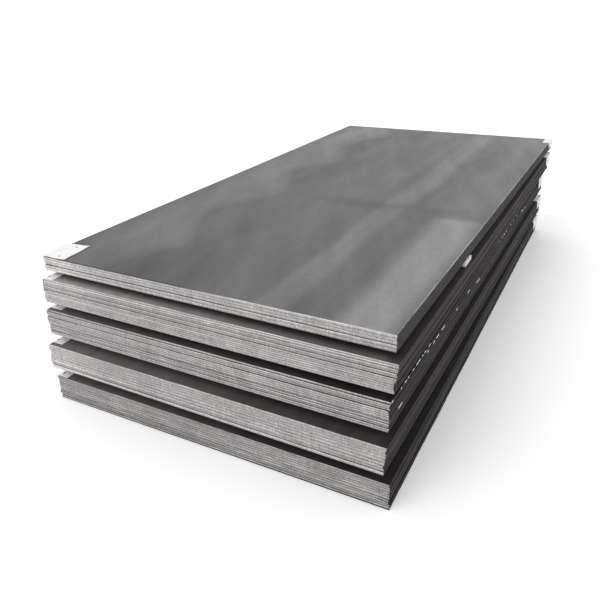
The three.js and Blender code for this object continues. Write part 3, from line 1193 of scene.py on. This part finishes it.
for count, node in enumerate(nodes_called("tag")):
    _, number, corner = node.split("_")
    near, far = solid_ends(node, axis=1)
    ahead = Vector((far.x - near.x, far.y - near.y, 0)).normalized()
    is_front = corner == "front"
    out = Vector((-ahead.y, ahead.x, 0)) if is_front else Vector((ahead.y, -ahead.x, 0))
    points = solid_points(node)
    level = max(point.z for point in points) - SOLID_CARD
    on_plate = [point for point in points if point.z > level - SAME_FACE]
    reach = max(out.dot(point) for point in on_plate)
    start = min(ahead.dot(point) for point in on_plate)
    flap = level - min(point.z for point in points)
    fold = FRONT_FOLD_PROUD if is_front else REAR_FOLD_PROUD
    if flap < SHORTEST_FLAP:
        flap, fold = 0, 0
        start += FLAT_CARD_BACK
    lap = reach - fold - min(out.dot(point) for point in on_plate)
    edge = ahead * start + out * (reach - fold)
    edge.z = 0
    behind = plates_behind(f"pack_{number}", edge, level, ahead, out) if flap else []
    tag = laid_card(f"{node}_card", edge, level, ahead, out, lap, flap, behind, seed=count + 1)
    thickened = tag.modifiers.new("card thickness", "SOLIDIFY")
    thickened.thickness = CARD_THICKNESS
    thickened.offset = 0
    tag.data.materials.append(card)
    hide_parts(node)
    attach(tag, "root")

# ------------------------------------------------------------------ studio floor
# A plain pale floor, matt and very wide. It isn't part of the stack. It takes the stack's
# soft shadow, and to the camera it is white.

FLOOR_REACH = 60.0
FLOOR_DROP = 0.0005
FLOOR_PALE = (0.80, 0.80, 0.80, 1.0)
FLOOR_WHITE = (1.25, 1.25, 1.25, 1.0)

floor_corners = [(FLOOR_REACH * right, FLOOR_REACH * rear, 0) for right, rear in FRONT_LEFT_FIRST]
floor = mesh_piece("studio_floor", floor_corners, [(0, 1, 2, 3)], [False], [0])
floor.location.z = -FLOOR_DROP
floor_paint, tree, shader = blank_finish("floor_paint")
is_seen = place(tree, "LightPath").outputs["Is Camera Ray"]
feed(tree, shader, {
    "Base Color": mixed(tree, is_seen, FLOOR_PALE, FLOOR_WHITE),
    "Roughness": 1.0,
    "Specular IOR Level": 0.0,
})
floor.data.materials.append(floor_paint)

# ------------------------------------------------------------------ sky and lamp
# A plain white sky gives most of the light, and one broad soft lamp stands high at the front
# left.

SKY_WHITE = (1.0, 1.0, 1.0, 1.0)
SKY_LIGHT = 0.86
SKY_SEEN = 1.0
LAMP_POWER = 0.5
LAMP_BREADTH = math.radians(35)
LAMP_AT = (-0.55, -1.0, 1.15)

world = bpy.data.worlds.new("studio_sky")
bpy.context.scene.world = world
world.use_nodes = True
sky = world.node_tree
sky.nodes.clear()
path = place(sky, "LightPath").outputs
is_seen = worked(sky, "MAXIMUM", path["Is Camera Ray"], path["Is Glossy Ray"])
strength = mixed_value(sky, is_seen, SKY_LIGHT, SKY_SEEN)
background = place(sky, "Background", {"Color": SKY_WHITE, "Strength": strength})
place(sky, "OutputWorld", {"Surface": background.outputs[0]})

lamp_data = bpy.data.lights.new("soft_lamp", "SUN")
lamp_data.energy = LAMP_POWER
lamp_data.angle = LAMP_BREADTH
lamp = bpy.data.objects.new("soft_lamp", lamp_data)
bpy.context.collection.objects.link(lamp)
lamp.rotation_euler = Vector(LAMP_AT).to_track_quat("Z", "Y").to_euler()

# ------------------------------------------------------------------ camera
# At eye height, in front of the stack and to its right, looking down along it. Its three ways
# are unit vectors to the right, the bottom and the middle of the view.

SENSOR_WIDTH = 36
FOCAL_LENGTH = 36.6043
CAMERA_AT = (1.25192, -2.97673, 1.51876)
VIEW_RIGHT = Vector((0.8815460, 0.4712963, -0.0275036))
VIEW_DOWN = Vector((0.1856956, -0.3997215, -0.8976301))
VIEW_AHEAD = Vector((-0.4340436, 0.7861949, -0.4398906))

camera_data = bpy.data.cameras.new("camera")
camera_data.sensor_width = SENSOR_WIDTH
camera_data.lens = FOCAL_LENGTH
camera = bpy.data.objects.new("camera", camera_data)
bpy.context.collection.objects.link(camera)
turned = Matrix((VIEW_RIGHT, -VIEW_DOWN, -VIEW_AHEAD)).transposed().to_4x4()
camera.matrix_world = Matrix.Translation(CAMERA_AT) @ turned
bpy.context.scene.camera = camera
bpy.context.scene.view_settings.view_transform = "Standard"
